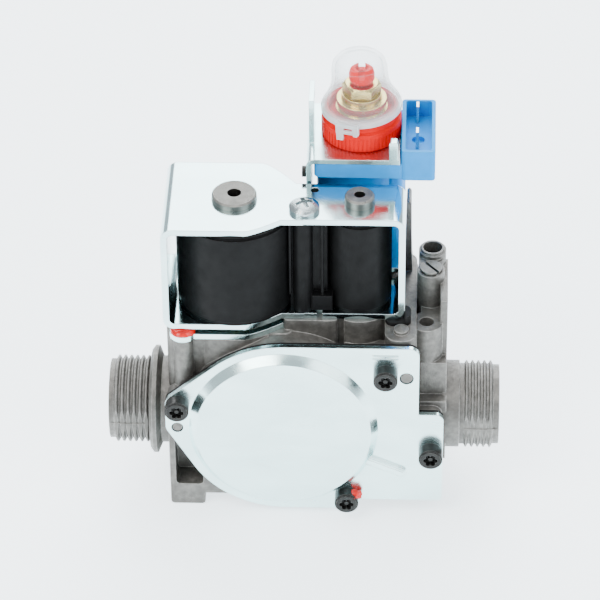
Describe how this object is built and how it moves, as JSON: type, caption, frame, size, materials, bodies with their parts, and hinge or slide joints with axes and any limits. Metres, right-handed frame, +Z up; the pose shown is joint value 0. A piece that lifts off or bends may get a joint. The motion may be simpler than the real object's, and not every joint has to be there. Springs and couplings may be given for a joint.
{
  "type": "gas valve",
  "caption": "Servo-regulated gas valve: cast body with two threaded ports, pressed cover plate, twin solenoids in one yoke and a blue modulator under a clear cap.",
  "frame": {"origin": "centre of the inlet port's end face, on the port axis", "axes": "+X along the port axis from inlet to outlet, -Y out of the cover plate, +Z up along the solenoids and the modulator"},
  "size_m": [0.1179, 0.0654, 0.1372],
  "materials": {
    "cast_aluminium": "die-cast, fine grain, matt",
    "zinc_plate": "bright zinc plated sheet",
    "zinc_screw": "bright zinc plated",
    "black_screw": "blackened steel, satin",
    "red_lacquer": "red sealing lacquer over steel",
    "coil_black": "moulded, satin",
    "steel": "turned steel",
    "spring_steel": "drawn wire",
    "rubber": "moulded nitrile rubber",
    "brass": "turned brass",
    "blue_plastic": "moulded, satin",
    "red_plastic": "moulded, satin gloss",
    "clear_plastic": "clear moulded plastic",
    "terminal_tin": "tinned brass blade"
  },
  "bodies": {
    "root": {"valve_body": "cast_aluminium", "inlet_filter": "steel", "cover_plate": "zinc_plate", "cover_screws": "black_screw", "main_diaphragm": "rubber", "flange_plate": "zinc_plate", "flange_screws": "red_lacquer", "yoke": "zinc_plate", "yoke_screw": "zinc_screw", "coil_1": "coil_black", "coil_2": "coil_black", "coil_bridge": "coil_black", "guide_tube_1": "brass", "guide_tube_2": "brass", "tube_seal_1": "rubber", "tube_seal_2": "rubber", "pole_piece_1": "steel", "pole_piece_2": "steel", "plunger_spring_1": "spring_steel", "plunger_spring_2": "spring_steel", "coil_2_base": "rubber", "modulator_coil": "blue_plastic", "modulator_terminals": "terminal_tin", "modulator_bracket": "zinc_plate", "bracket_rivet": "black_screw", "modulator_tube": "brass", "regulator_spring": "spring_steel", "servo_diaphragm": "rubber", "ring_nut": "red_plastic"},
    "ev1_plunger": {"plunger_1": "steel", "plunger_seal_1": "rubber"},
    "ev2_plunger": {"plunger_2": "steel", "plunger_seal_2": "rubber"},
    "main_valve": {"diaphragm_plate": "steel", "main_stem": "steel", "main_disc": "rubber", "main_spring": "spring_steel"},
    "modulator_armature": {"modulator_core": "steel", "servo_pad": "rubber"},
    "max_adjuster": {"max_nut": "brass"},
    "min_adjuster": {"min_screw": "red_plastic"},
    "cap": {"clear_cap": "clear_plastic"},
    "test_point": {"test_screw": "steel"}
  },
  "joints": [
    {"name": "ev1_stroke", "type": "slide", "parent": "root", "child": "ev1_plunger", "axis": [0, 0, 1], "range_m": [0, 0.003], "stiffness_N_per_m": 350, "springref_m": -0.004, "deforming": ["plunger_spring_1"]},
    {"name": "ev2_stroke", "type": "slide", "parent": "root", "child": "ev2_plunger", "axis": [0, 0, 1], "range_m": [0, 0.002], "stiffness_N_per_m": 250, "springref_m": -0.004, "deforming": ["plunger_spring_2"]},
    {"name": "main_valve_stroke", "type": "slide", "parent": "root", "child": "main_valve", "axis": [0, 1, 0], "range_m": [0, 0.003], "stiffness_N_per_m": 300, "springref_m": -0.003},
    {"name": "modulator_stroke", "type": "slide", "parent": "root", "child": "modulator_armature", "axis": [0, 0, -1], "range_m": [0, 0.0015], "deforming": ["regulator_spring"]},
    {"name": "max_pressure_turn", "type": "hinge", "parent": "root", "child": "max_adjuster", "pos_m": [0.0754, 0.0285, 0.093], "axis": [0, 0, 1], "range_deg": [-180, 180]},
    {"name": "min_pressure_turn", "type": "hinge", "parent": "max_adjuster", "child": "min_adjuster", "pos_m": [0.0754, 0.0285, 0.097], "axis": [0, 0, 1], "range_deg": [-180, 180]},
    {"name": "cap_pull", "type": "slide", "parent": "root", "child": "cap", "axis": [0, 0, 1], "range_m": [0, 0.025]},
    {"name": "test_point_turn", "type": "hinge", "parent": "root", "child": "test_point", "pos_m": [0.0967, 0.0075, 0.045], "axis": [0, 0, 1], "range_deg": [0, 360]}
  ]
}
